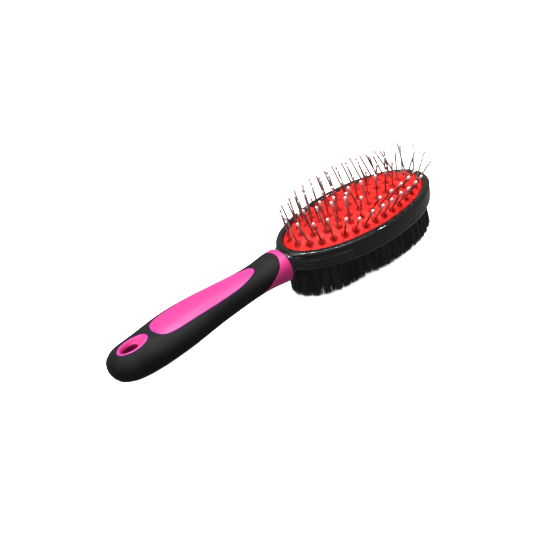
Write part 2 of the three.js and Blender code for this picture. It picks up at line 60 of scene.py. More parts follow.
# x and y parts of each wire's direction above its bend
LEAN = {
    "outer": [[0.17, 0.43], [-0.27, 0.33], [-0.38, -0.03], [-0.27, 0.21], [-0.17, 0.32], [-0.21, 0.19],
      [-0.16, 0.25], [-0.18, 0.13], [-0.18, 0.09], [-0.05, 0.17], [-0.08, 0.09], [-0.09, 0.13],
      [-0.15, 0.01], [-0.23, 0.06], [-0.14, 0.06], [-0.09, 0.09], [-0.12, 0.25], [-0.34, -0.01],
      [-0.34, -0.18], [-0.28, -0.21], [-0.21, -0.47], [-0.23, -0.60], [-0.09, -0.60], [-0.06, -0.60],
      [-0.05, -0.58], [0.01, -0.57], [-0.01, -0.60], [0.03, -0.60], [0.02, -0.60], [0.60, -0.27],
      [0.55, 0.02], [0.37, 0.26]],
    "second": [[0.32, 0.31], [-0.09, 0.60], [-0.27, 0.18], [-0.20, 0.20], [-0.17, 0.20], [-0.16, 0.17],
      [-0.14, 0.12], [-0.10, 0.11], [-0.07, 0.10], [-0.10, 0.08], [-0.14, 0.06], [-0.14, 0.18],
      [-0.13, -0.27], [-0.18, 0.06], [-0.19, 0.06], [-0.14, 0.01], [-0.11, -0.06], [-0.16, -0.34],
      [-0.07, -0.64], [0.01, -0.65], [0.08, -0.64], [0.08, -0.64], [0.07, -0.64], [0.54, -0.02]],
    "third": [[0.02, 0.17], [-0.13, 0.15], [-0.17, 0.14], [-0.16, 0.15], [-0.15, 0.13], [-0.13, 0.11],
      [-0.08, 0.11], [-0.09, 0.09], [-0.13, 0.06], [-0.14, 0.03], [-0.17, 0.00], [-0.18, -0.05],
      [-0.15, -0.13], [-0.15, -0.20], [-0.28, 0.08], [-0.23, -0.01], [-0.12, -0.17], [-0.11, -0.25],
      [-0.04, -0.16], [0.15, 0.09]],
    "centre": [[-0.16, 0.01], [-0.14, -0.02], [-0.18, -0.06], [-0.20, -0.06], [-0.16, -0.12], [-0.10, -0.21],
      [-0.04, -0.21], [0.03, -0.07]],
}
# wires near the tip of the head that stand prouder than the rest
PROUD = {"outer": {0: 2, 29: 1, 30: 1.4, 31: 2}, "second": {0: 0.8, 1: 0.8, 2: 0.4, 23: 0.6}, "third": {}, "centre": {}}
CENTRE_PINS = [-25.9, -18.5, -11.1, -3.7, 3.7, 11.1, 18.5, 25.9]
BRISTLE_TOP = 18.9
TUFT_RINGS = [("outer", 49.6, 21.0, 44, 6, 1.2, 112), ("second", 43.6, 15.5, 36, 4, 0.8, 78), ("third", 37.4, 10.0, 30, 4, 0.4, 54)]
CENTRE_ROW = (29.4, 4.2, 24, 2, 46)
HANDLE = [
    [-111.2, 19.2, 0.0, 0.0], [-110.6, 19.15, 4.6, 3.2], [-109.0, 19.15, 7.6, 5.4],
    [-106.6, 19.2, 9.6, 6.9], [-102.9, 19.25, 11.6, 8.0], [-97.1, 19.15, 12.7, 8.8],
    [-89.4, 19.4, 13.8, 8.9], [-77.8, 20.6, 15.1, 8.7], [-63.3, 21.9, 14.8, 8.6],
    [-48.9, 22.6, 12.8, 8.4], [-34.4, 22.7, 11.1, 7.9], [-21.9, 22.8, 10.3, 7.4],
    [-12.2, 23.0, 10.4, 7.7], [-4.5, 23.1, 10.9, 8.7], [1.0, 22.8, 10.6, 9.4]]
HANDLE_N = 2.25
GRIP_EDGE = [[40, -1.0], [36, -1.6], [32, -2.6], [30.2, -4.4], [28.5, -5.9], [26.4, -8.3],
             [24.2, -11.3], [22, -14.0], [20.2, -16.7], [17, -20.5], [14.5, -23.0], [10, -26.5]]
WINDOW = [[-83.4, 0], [-83.1, 2.2], [-82.1, 5.0], [-80.4, 7.0], [-78.0, 8.3],
          [-74.6, 9.1], [-70, 9.5], [-63, 9.6], [-55, 9.5], [-47, 9.1], [-39.5, 8.4],
          [-32.1, 7.4], [-25.7, 5.9], [-21.3, 4.3], [-18.7, 2.8], [-17.4, 1.3], [-17.0, 0]]
EYE = (-95.6, 9.2, 5.5)
HOLE = (-97.8, 4.8, 3.0)
DISH = (-95.8, 7.9, 4.4)


# ------------------------------------------------------------------- splines
def spline(t, y):
    """Natural cubic spline through the points, for arrays."""
    t, y = np.asarray(t, float), np.asarray(y, float)
    n = len(t)
    h = np.diff(t)
    A = np.zeros((n, n))
    r = np.zeros(n)
    A[0, 0] = A[-1, -1] = 1
    for i in range(1, n - 1):
        A[i, i - 1], A[i, i], A[i, i + 1] = h[i - 1], 2 * (h[i - 1] + h[i]), h[i]
        r[i] = 6 * ((y[i + 1] - y[i]) / h[i] - (y[i] - y[i - 1]) / h[i - 1])
    m = np.linalg.solve(A, r)

    def f(q):
        q = np.asarray(q, float)
        i = np.clip(np.searchsorted(t, q) - 1, 0, n - 2)
        d0, d1 = q - t[i], t[i + 1] - q
        return (m[i] * d1 ** 3 + m[i + 1] * d0 ** 3) / (6 * h[i]) + (y[i] / h[i] - m[i] * h[i] / 6) * d1 + (y[i + 1] / h[i] - m[i + 1] * h[i] / 6) * d0
    return f


def closed_curve(pts, spacing):
    """Smooth closed curve through the points, resampled evenly, anticlockwise."""
    p = np.asarray(pts, float)
    k = len(p)
    q = np.vstack([p[-4:], p, p[:5]])
    t = np.concatenate([[0], np.cumsum(np.hypot(*np.diff(q, axis=0).T))])
    fx, fy = spline(t, q[:, 0]), spline(t, q[:, 1])
    s = np.linspace(t[4], t[4 + k], 4001)
    c = np.stack([fx(s), fy(s)], 1)
    L = np.concatenate([[0], np.cumsum(np.hypot(*np.diff(c, axis=0).T))])
    n = max(24, int(round(L[-1] / spacing)))
    u = np.linspace(0, L[-1], n, endpoint=False)
    out = np.stack([np.interp(u, L, c[:, 0]), np.interp(u, L, c[:, 1])], 1)
    a = (out[:, 0] * np.roll(out[:, 1], -1) - out[:, 1] * np.roll(out[:, 0], -1)).sum()
    return out if a > 0 else out[::-1].copy()


def grown(c, d):
    """The closed curve moved outwards by d."""
    t = np.roll(c, -1, 0) - np.roll(c, 1, 0)
    t /= np.linalg.norm(t, axis=1)[:, None]
    return c + d * np.stack([t[:, 1], -t[:, 0]], 1)


def ellipse(e, n, d=0.0):
    t = 2 * np.pi * np.arange(n) / n
    return np.stack([e[0] + (e[1] + d) * np.cos(t), (e[2] + d) * np.sin(t)], 1)


def inside(poly, pts):
    """Which points lie inside a closed polygon."""
    x, y = pts[:, 0], pts[:, 1]
    r = np.zeros(len(pts), bool)
    for (x0, y0), (x1, y1) in zip(poly, np.roll(poly, -1, 0)):
        if y0 == y1:
            continue
        k = (y0 > y) != (y1 > y)
        r ^= k & (x < (x1 - x0) * (y - y0) / (y1 - y0) + x0)
    return r


def rounded(pts, radii, closed=True, k=6):
    """A profile with each corner turned into an arc of the given radius."""
    pts = [np.array(p, float) for p in pts]
    n, out = len(pts), []
    for i, p in enumerate(pts):
        r = radii[i] if hasattr(radii, "__len__") else radii
        if (not closed and i in (0, n - 1)) or r <= 0:
            out.append(p)
            continue
        a, b = pts[i - 1] - p, pts[(i + 1) % n] - p
        la, lb = np.linalg.norm(a), np.linalg.norm(b)
        a, b = a / la, b / lb
        ang = math.acos(np.clip(a @ b, -1, 1))
        if ang > math.pi - 0.05:
            out.append(p)
            continue
        d = min(r / math.tan(ang / 2), la * 0.48, lb * 0.48)
        r = d * math.tan(ang / 2)
        c = p + (a + b) / np.linalg.norm(a + b) * (r / math.sin(ang / 2))
        s, e = p + a * d - c, p + b * d - c
        turn = math.atan2(s[0] * e[1] - s[1] * e[0], s @ e)
        for j in range(k + 1):
            w = turn * j / k
            out.append(c + np.array([s[0] * math.cos(w) - s[1] * math.sin(w), s[0] * math.sin(w) + s[1] * math.cos(w)]))
    return out


# -------------------------------------------------------------- mesh building
class Mesh:
    def __init__(self):
        self.v, self.f, self.n = [], [], 0

    def add(self, verts, faces):
        self.v.append(np.asarray(verts, float).reshape(-1, 3))
        self.f.extend([tuple(i + self.n for i in f) for f in faces])
        self.n += len(self.v[-1])

    def loft(self, rings, wrap=False, cap0=False, cap1=False, loop=True):
        R = np.asarray(rings, float)
        m, n = R.shape[:2]
        f = []
        for i in range(m if wrap else m - 1):
            a, b = i * n, ((i + 1) % m) * n
            for j in range(n if loop else n - 1):
                k = (j + 1) % n
                f.append((a + j, a + k, b + k, b + j))
        if cap0:
            f.append(tuple(range(n - 1, -1, -1)))
        if cap1:
            f.append(tuple(range((m - 1) * n, m * n)))
        self.add(R.reshape(-1, 3), f)

    def object(self, name, material, sharp=38.0, merge=None, fix=True, attributes=None):
        v = np.concatenate(self.v)
        me = bpy.data.meshes.new(name)
        me.from_pydata((v * MM).tolist(), [], self.f)
        if merge or fix:
            bm = bmesh.new()
            bm.from_mesh(me)
            if merge:
                bmesh.ops.remove_doubles(bm, verts=bm.verts, dist=merge * MM)
                bmesh.ops.dissolve_degenerate(bm, dist=merge * MM * 0.2, edges=bm.edges)
                bmesh.ops.holes_fill(bm, edges=[e for e in bm.edges if e.is_boundary], sides=0)
            if fix:
                bmesh.ops.recalc_face_normals(bm, faces=bm.faces)
            bm.to_mesh(me)
            bm.free()
        me.update()
        me.polygons.foreach_set("use_smooth", np.ones(len(me.polygons), bool))
        if sharp:
            me.set_sharp_from_angle(angle=math.radians(sharp))
        o = bpy.data.objects.new(name, me)
        scene.collection.objects.link(o)
        me.materials.append(material)
        return o


def oval(o, z, n):
    t = 2 * np.pi * np.arange(n) / n
    return np.stack([HEAD_X + (HEAD_A - o) * np.cos(t), (HEAD_B - o) * np.sin(t), np.full(n, float(z))], 1)


def boolean(target, cutter, operation, drop=True):
    """Applies one boolean and returns the target with its new mesh."""
    m = target.modifiers.new("b", "BOOLEAN")
    m.operation, m.object, m.solver = operation, cutter, "EXACT"
    bpy.context.view_layer.update()
    dg = bpy.context.evaluated_depsgraph_get()
    new = bpy.data.meshes.new_from_object(target.evaluated_get(dg))
    target.modifiers.clear()
    old, target.data = target.data, new
    bpy.data.meshes.remove(old)
    if drop:
        bpy.data.objects.remove(cutter)
    return target


def tidy(o):
    """Drops the empty faces that a boolean leaves along its seam."""
    bm = bmesh.new()
    bm.from_mesh(o.data)
    bmesh.ops.remove_doubles(bm, verts=bm.verts, dist=0.004 * MM)
    bmesh.ops.dissolve_degenerate(bm, dist=0.003 * MM, edges=bm.edges)
    bmesh.ops.triangulate(bm, faces=[f for f in bm.faces if len(f.verts) > 4])
    bmesh.ops.dissolve_degenerate(bm, dist=0.003 * MM, edges=bm.edges)
    bmesh.ops.holes_fill(bm, edges=[e for e in bm.edges if e.is_boundary], sides=0)
    bmesh.ops.triangulate(bm, faces=[f for f in bm.faces if len(f.verts) > 4])
    bmesh.ops.recalc_face_normals(bm, faces=bm.faces)
    bm.to_mesh(o.data)
    bm.free()
    o.data.update()


# ------------------------------------------------------------------ materials
def material(name):
    m = bpy.data.materials.new(name)
    m.use_nodes = True
    nt = m.node_tree
    return m, nt, next(n for n in nt.nodes if n.type == "BSDF_PRINCIPLED")


def noise(nt, scale, detail=2.0, rough=0.5, stretch=None):
    tc = nt.nodes.new("ShaderNodeTexCoord")
    t = nt.nodes.new("ShaderNodeTexNoise")
    t.inputs["Scale"].default_value = scale
    t.inputs["Detail"].default_value = detail
    t.inputs["Roughness"].default_value = rough
    if stretch:
        mp = nt.nodes.new("ShaderNodeMapping")
        mp.inputs["Scale"].default_value = stretch
        nt.links.new(tc.outputs["Object"], mp.inputs["Vector"])
        nt.links.new(mp.outputs["Vector"], t.inputs["Vector"])
    else:
        nt.links.new(tc.outputs["Object"], t.inputs["Vector"])
    return t.outputs["Fac"]


def remap(nt, value, a, b, lo=0.3, hi=0.7):
    m = nt.nodes.new("ShaderNodeMapRange")
    for k, v in (("From Min", lo), ("From Max", hi), ("To Min", a), ("To Max", b)):
        m.inputs[k].default_value = v
    nt.links.new(value, m.inputs["Value"])
    return m.outputs["Result"]


def mix(nt, fac, a, b):
    m = nt.nodes.new("ShaderNodeMix")
    m.data_type = "RGBA"
    nt.links.new(fac, m.inputs[0])
    for s, c in ((m.inputs[6], a), (m.inputs[7], b)):
        if hasattr(c, "__len__"):
            s.default_value = (*c, 1)
        else:
            nt.links.new(c, s)
    return m.outputs[2]


def multiply(nt, fac, a, b):
    m = nt.nodes.new("ShaderNodeMix")
    m.data_type, m.blend_type = "RGBA", "MULTIPLY"
    nt.links.new(fac, m.inputs[0])
    nt.links.new(a, m.inputs[6])
    m.inputs[7].default_value = (*b, 1)
    return m.outputs[2]


def bump(nt, bsdf, layers):
    """layers: (height socket, strength, distance in mm)"""
    last = None
    for h, strength, distance in layers:
        b = nt.nodes.new("ShaderNodeBump")
        b.inputs["Strength"].default_value = strength
        b.inputs["Distance"].default_value = distance * MM
        nt.links.new(h, b.inputs["Height"])
        if last:
            nt.links.new(last, b.inputs["Normal"])
        last = b.outputs["Normal"]
    nt.links.new(last, bsdf.inputs["Normal"])


def attribute(nt, name):
    a = nt.nodes.new("ShaderNodeAttribute")
    a.attribute_name = name
    return a.outputs["Fac"]


def pink_plastic():
    m, nt, b = material("pink_satin_plastic")
    c = mix(nt, remap(nt, noise(nt, 55, 3), 0, 1), (0.410, 0.0195, 0.136), (0.462, 0.028, 0.163))
    c = multiply(nt, attribute(nt, "rim"), c, (0.55, 0.92, 1.18))
    # painted shade: the pink darkened down inside the hang hole
    c = multiply(nt, attribute(nt, "painted_hole_shade"), c, (0.42, 0.30, 0.36))
    nt.links.new(c, b.inputs["Base Color"])
    nt.links.new(remap(nt, noise(nt, 700, 4), 0.34, 0.46), b.inputs["Roughness"])
    b.inputs["Specular IOR Level"].default_value = 0.19
    bump(nt, b, [(noise(nt, 90, 2), 0.10, 0.10), (noise(nt, 1900, 2), 0.10, 0.03)])
    return m


def grip_rubber():
    m, nt, b = material("soft_grip_rubber")
    c = mix(nt, remap(nt, noise(nt, 70, 4), 0, 1), (0.0048, 0.0048, 0.0051), (0.0078, 0.0078, 0.0083))
    nt.links.new(c, b.inputs["Base Color"])
    nt.links.new(remap(nt, noise(nt, 300, 4), 0.54, 0.66), b.inputs["Roughness"])
    b.inputs["Specular IOR Level"].default_value = 0.07
    bump(nt, b, [(noise(nt, 2300, 3, 0.6), 0.22, 0.06)])
    return m


def gloss_black():
    m, nt, b = material("black_gloss_plastic")
    c = mix(nt, remap(nt, noise(nt, 60, 3), 0, 1), (0.0028, 0.0028, 0.0030), (0.0046, 0.0046, 0.0048))
    nt.links.new(c, b.inputs["Base Color"])
    nt.links.new(remap(nt, noise(nt, 420, 4), 0.04, 0.09), b.inputs["Roughness"])
    b.inputs["Specular IOR Level"].default_value = 0.34
    bump(nt, b, [(noise(nt, 60, 2), 0.03, 0.10), (noise(nt, 2500, 2), 0.02, 0.02)])
    return m


def red_rubber():
    m, nt, b = material("red_cushion_rubber")
    base = mix(nt, remap(nt, noise(nt, 240, 4), 0, 1), (0.54, 0.006, 0.004), (0.84, 0.015, 0.011))
    base = multiply(nt, remap(nt, noise(nt, 620, 3, 0.6), 0, 1, 0.38, 0.60), base, (0.58, 0.32, 0.32))
    # painted shade: darker red round each pin's root, standing in for the mound's shading and the pin's shadow
    nt.links.new(multiply(nt, attribute(nt, "painted_pin_shade"), base, (0.30, 0.12, 0.12)), b.inputs["Base Color"])
    nt.links.new(remap(nt, noise(nt, 500, 4), 0.44, 0.58), b.inputs["Roughness"])
    b.inputs["Specular IOR Level"].default_value = 0.15
    b.inputs["Subsurface Weight"].default_value = 0.06
    b.inputs["Subsurface Radius"].default_value = (0.0012, 0.0003, 0.0002)
    bump(nt, b, [(noise(nt, 330, 3), 0.45, 0.22), (noise(nt, 1300, 3), 0.25, 0.06)])
    return m


def pin_steel():
    m, nt, b = material("pin_wire_steel")
    c = mix(nt, remap(nt, noise(nt, 130, 3, 0.6), 0, 1, 0.36, 0.60), (0.11, 0.078, 0.070), (0.40, 0.355, 0.335))
    nt.links.new(c, b.inputs["Base Color"])
    nt.links.new(remap(nt, noise(nt, 900, 3, 0.5, (1, 1, 0.15)), 0.26, 0.42), b.inputs["Roughness"])
    b.inputs["Metallic"].default_value = 1.0
    bump(nt, b, [(noise(nt, 1500, 2, 0.5, (1, 1, 0.2)), 0.10, 0.02)])
    return m


def tip_enamel():
    m, nt, b = material("white_tip_resin")
    c = mix(nt, remap(nt, noise(nt, 400, 2), 0, 1), (0.56, 0.53, 0.52), (0.70, 0.675, 0.66))
    nt.links.new(c, b.inputs["Base Color"])
    nt.links.new(remap(nt, noise(nt, 900, 2), 0.20, 0.32), b.inputs["Roughness"])
    b.inputs["Specular IOR Level"].default_value = 0.5
    bump(nt, b, [(noise(nt, 1200, 2), 0.08, 0.03)])
    return m


def nylon():
    m, nt, b = material("black_bristle_nylon")
    c = mix(nt, remap(nt, noise(nt, 900, 2, 0.5, (1, 1, 0.08)), 0, 1), (0.0065, 0.0065, 0.0065), (0.028, 0.027, 0.026))
    nt.links.new(c, b.inputs["Base Color"])
    nt.links.new(remap(nt, noise(nt, 1600, 2, 0.5, (1, 1, 0.1)), 0.26, 0.44), b.inputs["Roughness"])
    b.inputs["Specular IOR Level"].default_value = 0.42
    bump(nt, b, [(noise(nt, 3000, 2, 0.5, (1, 1, 0.2)), 0.1, 0.02)])
    return m


PINK, GRIP, GLOSS, RED, STEEL, RESIN, NYLON = (
    pink_plastic(), grip_rubber(), gloss_black(), red_rubber(), pin_steel(), tip_enamel(), nylon())


# --------------------------------------------------------------------- handle
def handle_maps():
    H = np.array(HANDLE)
    chord = np.concatenate([[0], np.cumsum(np.hypot(np.diff(H[:, 0]), np.diff(H[:, 2])))])
    k = 7
    tau = np.concatenate([-chord[k:0:-1], chord])

    def mirrored(col, sign):
        v = H[:, col]
        return np.concatenate([sign * v[k:0:-1], v])
    return chord[-1], spline(tau, mirrored(0, 1)), spline(tau, mirrored(1, 1)), spline(tau, mirrored(2, -1)), spline(tau, mirrored(3, -1))


U_END, fx, fz, fw, ft = handle_maps()
VR = 12.0                        # millimetres of chart per radian round the handle
V_END = 2 * np.pi * VR
U_TAB = np.linspace(0, U_END, 6001)
X_TAB = np.maximum.accumulate(fx(U_TAB) + 1e-9 * np.arange(6001))


def u_of_x(x):
    return np.interp(x, X_TAB, U_TAB)


def chart(xy, upper):
    """Plan positions on the handle's upper or lower face, as places on the chart."""
    u = u_of_x(xy[:, 0])
    q = np.clip(xy[:, 1] / fw(u), -0.9999, 0.9999)
    th = np.arccos(np.sign(q) * np.abs(q) ** (HANDLE_N / 2))
    return np.stack([u, (th if upper else 2 * np.pi - th) * VR], 1)


def on_handle(uv, inset):
    """Points of the handle's surface, moved inwards along the normal."""
    u, th = uv[:, 0], uv[:, 1] / VR
    h = 1e-3
    x, z0, w, t = fx(u), fz(u), np.maximum(fw(u), 0), np.maximum(ft(u), 0)
    dx, dz, dw, dt = (((f(u + h) - f(u - h)) / (2 * h)) for f in (fx, fz, fw, ft))
    c, s = np.cos(th), np.sin(th)
    e, q = 2 / HANDLE_N, 2 / HANDLE_N * (HANDLE_N - 1)
    P = np.stack([x, w * np.sign(c) * np.abs(c) ** e, z0 + t * np.sign(s) * np.abs(s) ** e], 1)
    sq = np.abs(s) ** q * np.sign(s)
    N = np.stack([-(c * c * dw * t + s * s * dt * w + sq * dz * w),
                  dx * np.abs(c) ** q * np.sign(c) * t, dx * sq * w], 1)
    L = np.linalg.norm(N, axis=1)
    pole = L < 1e-6
    N[pole] = (-1, 0, 0)
    L[pole] = 1
    return P - (N / L[:, None]) * np.asarray(inset, float).reshape(-1, 1)


ez = spline([p[0] for p in GRIP_EDGE[::-1]], [p[1] for p in GRIP_EDGE[::-1]])
TH_EDGE = np.linspace(0, 2 * np.pi, 145)


def edge_curve():
    """The rubber's front edge on the chart, one u for each angle."""
    x = np.full(len(TH_EDGE), -8.0)
    e = 2 / HANDLE_N
    s = np.sin(TH_EDGE)
    for _ in range(60):
        u = u_of_x(x)
        z = fz(u) + ft(u) * np.sign(s) * np.abs(s) ** e
        x = 0.5 * x + 0.5 * ez(np.clip(z, 10, 40))
    return u_of_x(x)


U_EDGE = edge_curve()
SLOPE = np.gradient(U_EDGE, TH_EDGE * 11.0)
EDGE_K = np.sqrt(1 + SLOPE ** 2)


def edge_ring(d):
    """The front edge moved forwards by d across its own direction."""
    return np.stack([U_EDGE + d * EDGE_K, TH_EDGE * VR], 1)


window = closed_curve([(x, -y) for x, y in WINDOW] + [(x, y) for x, y in WINDOW[-2:0:-1]], 0.75)
EYE_N, HOLE_N = 72, 48
ARC = [(math.cos(a), math.sin(a)) for a in np.linspace(0, np.pi / 2, 6)]


class Chart:
    """Points with insets and the lines that join them, to be triangulated."""
    def __init__(self):
        self.p, self.i, self.e, self.n = [], [], [], 0

    def ring(self, uv, inset, closed=True):
        k = len(uv)
        self.p.append(uv)
        self.i.append(np.full(k, float(inset)))
        self.e += [(self.n + j, self.n + (j + 1) % k) for j in range(k if closed else k - 1)]
        self.n += k
        return uv

    def fill(self, du, dv, inset, u1, keep=0.62):
        """Grid of loose points kept clear of the lines, with matching points on both sides of the seam."""
        ring = np.concatenate(self.p)
        nv, nu = int(round(V_END / dv)), int(round(u1 / du))
        us = u1 * (np.arange(nu + 1) / nu) ** 1.0
        vs = np.arange(nv + 1) * V_END / nv
        g = np.stack(np.meshgrid(us, vs, indexing="ij"), -1).reshape(-1, 2)
        near = np.zeros(len(g), bool)
        for a in range(0, len(g), 2000):
            d = np.abs(g[a:a + 2000, None] - ring[None])
            near[a:a + 2000] = ((d[..., 0] / (du * keep)) ** 2 + (d[..., 1] / (dv * keep)) ** 2 < 1).any(1)
        # the two seam lines lose the same points
        for u in us:
            a = np.nonzero((np.abs(g[:, 0] - u) < 1e-9) & ((g[:, 1] < 1e-9) | (g[:, 1] > V_END - 1e-9)))[0]
            if near[a].any():
                near[a] = True
        g = g[~near]
        self.p.append(g)
        self.i.append(inset(g) if callable(inset) else np.full(len(g), float(inset)))
        self.n += len(g)

    def triangles(self, keep):
        p, i = np.concatenate(self.p), np.concatenate(self.i)
        vo, _, fo, ov, _, _ = delaunay_2d_cdt([Vector(q) for q in p], self.e, [], 0, 1e-7)
        uv = np.array([tuple(v) for v in vo])
        ins = np.array([i[o[0]] if len(o) else 0.0 for o in ov])
        tri = np.array([f for f in fo if len(f) == 3])
        c = uv[tri].mean(1)
        tri = tri[keep(c)]
        return on_handle(uv, ins), tri.tolist()


def edge_limit(c, d):
    return c[:, 0] < np.interp(c[:, 1], TH_EDGE * VR, U_EDGE + d * EDGE_K)


def make_grip():
    G, r, deep = 0.17, 0.42, 1.3
    chartlines = []
    loops = [(lambda d: chart(grown(window, d), True)), (lambda d: chart(ellipse(EYE, EYE_N, d), True)), (lambda d: chart(ellipse(EYE, EYE_N, d), False))]
    top, low, M = Chart(), Chart(), Mesh()
    gates = []
    for k, loop in enumerate(loops):
        rim = loop(G)
        gates.append(rim)
        for c, s in ARC:
            top.ring(loop(G + r * (1 - c)), r * (1 - s))
        top.ring(loop(G + r + 0.22), 0.0)
        low.ring(rim, deep)
        M.loft([on_handle(rim, a) for a in (np.full(len(rim), r), np.full(len(rim), (r + deep) / 2), np.full(len(rim), deep))])
    for c, s in ARC:
        top.ring(edge_ring(-G - r * (1 - c)), r * (1 - s), closed=False)
    top.ring(edge_ring(-G - r - 0.22), 0.0, closed=False)
    low.ring(edge_ring(-G), deep, closed=False)
    front = edge_ring(-G)
    M.loft([on_handle(front, np.full(len(front), a)) for a in (r, (r + deep) / 2, deep)], loop=False)
    top.fill(1.25, V_END / 76, 0.0, U_END)
    low.fill(3.2, V_END / 30, deep, U_END)

    def keep(c):
        k = edge_limit(c, -G)
        for g in gates:
            k &= ~inside(g, c)
        return k
    M.add(*top.triangles(keep))
    P, T = low.triangles(keep)
    M.add(P, [t[::-1] for t in T])
    return M.object("grip_rubber_sleeve", GRIP, sharp=50, merge=0.004)


def make_core():
    r, deep, proud = 0.32, 1.45, 0.06
    M, ch = Mesh(), Chart()

    def island(loop):
        ch.ring(loop(0.02), deep)
        for c, s in ARC:
            ch.ring(loop(-r * (1 - c)), proud + r * (1 - s))
        ch.ring(loop(-r - 0.2), proud)
    island(lambda d: chart(grown(window, d), True))
    holes = []
    for upper in (True, False):
        island(lambda d: chart(ellipse(EYE, EYE_N, d), upper))
        last = None
        for f in (0, 0.06, 0.14, 0.25, 0.38, 0.52, 0.66, 0.8, 0.9, 0.96, 1.0):
            g = f ** 0.9
            e = tuple(DISH[j] + (HOLE[j] - DISH[j]) * g for j in range(3))
            depth = proud + 0.02 + 1.95 * (f * f * (3 - 2 * f)) ** 0.85 + (0.35 * max(0, (f - 0.9) / 0.1) ** 2)
            last = chart(ellipse(e, HOLE_N), upper)
            ch.ring(last, depth)
        holes.append((last, depth))
    # hang hole's wall
    a, b = (on_handle(uv, np.full(len(uv), d)) for uv, d in holes)
    M.loft([a + (b - a) * k / 6 for k in range(7)])
    # collar: the same front edge, raised again to the full size of the handle
    ch.ring(edge_ring(0.0 - 0.02), deep, closed=False)
    for c, s in ARC:
        ch.ring(edge_ring(r * (1 - c)), proud * 0.5 + r * (1 - s), closed=False)
    ch.ring(edge_ring(r + 0.2), proud * 0.5, closed=False)
    # rounded front of the collar
    rf = 0.7
    for c, s in ARC[::-1]:
        ch.ring(np.stack([U_END - rf * (1 - c) + 0 * TH_EDGE, TH_EDGE * VR], 1), proud * 0.5 + rf * (1 - s), closed=False)
    win, eyes = chart(window, True), [chart(ellipse(EYE, EYE_N), k) for k in (True, False)]

    def level(g):
        out = np.full(len(g), deep)
        out[~edge_limit(g, 0.0)] = proud * 0.5
        k = inside(win, g)
        d = np.sqrt((((g[:, None] - win[None]) ** 2).sum(-1)).min(1))
        q = np.clip(d / 6, 0, 1)
        out[k] = (proud - 0.16 * q * q * (3 - 2 * q))[k]
        for e in eyes:
            out[inside(e, g)] = proud
        return out
    ch.fill(1.25, V_END / 76, level, U_END)

    def keep(c):
        k = np.ones(len(c), bool)
        for uv, _ in holes:
            k &= ~inside(uv, c)
        return k
    M.add(*ch.triangles(keep))
    # face of the collar, and the socket that takes the tang of the head
    n = len(TH_EDGE) - 1
    rim = on_handle(np.stack([np.full(n, U_END), TH_EDGE[:-1] * VR], 1), np.full(n, proud * 0.5 + rf))
    th, e = TH_EDGE[:-1], 2 / HANDLE_N

    def circle(x, rad):
        return np.stack([np.full(n, float(x)), rad * np.sign(np.cos(th)) * np.abs(np.cos(th)) ** e,
                         23.05 + rad * np.sign(np.sin(th)) * np.abs(np.sin(th)) ** e], 1)
    M.loft([rim, rim * [0, 1, 1] + [1.0, 0, 0] + (circle(0, 5.9) * [0, 1, 1] - rim * [0, 1, 1]) * 0.03, circle(1.0, 5.9), circle(0.6, 5.4), circle(-24.9, 5.3)], cap1=True)
    o = M.object("handle_pink_core", PINK, sharp=50, merge=0.004)
    co = np.array([v.co for v in o.data.vertices]) / MM
    q = co[:, :2]
    lines = np.vstack([window, ellipse(EYE, EYE_N)])
    d = np.empty(len(q))
    for i in range(0, len(q), 2000):
        d[i:i + 2000] = np.sqrt(((q[i:i + 2000, None] - lines[None]) ** 2).sum(-1)).min(1)
    edge = np.clip((1.5 - d) / 1.2, 0, 1) * (q[:, 0] < -15)
    # painted shade inside the hang hole: how far down inside its wall, used to darken the pink there
    e = np.sqrt(((q[:, 0] - HOLE[0]) / HOLE[1]) ** 2 + (q[:, 1] / HOLE[2]) ** 2)
    depth = np.abs(co[:, 2] - float(fz(u_of_x(HOLE[0]))))
    deep = np.clip((1.16 - e) / 0.12, 0, 1) * np.clip((float(ft(u_of_x(HOLE[0]))) - 1.0 - depth) / 1.5, 0, 1)
    for name, value in (("rim", edge * edge * (3 - 2 * edge)), ("painted_hole_shade", deep)):
        o.data.attributes.new(name, "FLOAT", "POINT").data.foreach_set("value", value.astype(np.float32))
    return o


grip = make_grip()
core = make_core()
for o, n, s in ((grip, "handle_grip", "grip_rubber"), (core, "handle_core", "pink_plastic")):
    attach(o, "brush"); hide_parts(n)

# ----------------------------------------------------------------------- head
SEG = 256
M = Mesh()
bez = rounded([(0.0, Z_SKIRT), (0.0, 29.25), (0.85, 30.28), (2.4, 30.6), (3.9, 30.35), (BEZEL_W, 29.75), (BEZEL_W, Z_LIP), (SKIRT_W, Z_LIP), (SKIRT_W, Z_SKIRT)],
              [0.25, 0.9, 1.2, 4.0, 0.9, 0.35, 0.15, 0.1, 0.1], k=7)
M.loft([oval(o, z, SEG) for o, z in bez], wrap=True)
bezel = M.object("bezel_ring_gloss", GLOSS, sharp=45)
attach(bezel, "brush"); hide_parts("bezel_ring")

M = Mesh()
pl = rounded([(1.7, 19.2), (0.7, 19.2), (0.4, 20.4), (0.35, 21.7)], [0, 0.7, 0.8, 0], closed=False)
pl = [(24.0, 19.2), (12.0, 19.2)] + [tuple(p) for p in rounded([(6.0, 19.2), (0.75, 19.2), (0.38, 20.6), (0.35, 21.7), (1.5, 21.7)], [0, 0.8, 0.9, 0.25, 0], closed=False)] + [(12.0, 21.7), (24.0, 21.7)]
M.loft([oval(o, z, SEG) for o, z in pl], cap0=True, cap1=True)
plate = M.object("bristle_plate_black", GLOSS, sharp=45)
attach(plate, "brush"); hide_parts("bristle_plate")


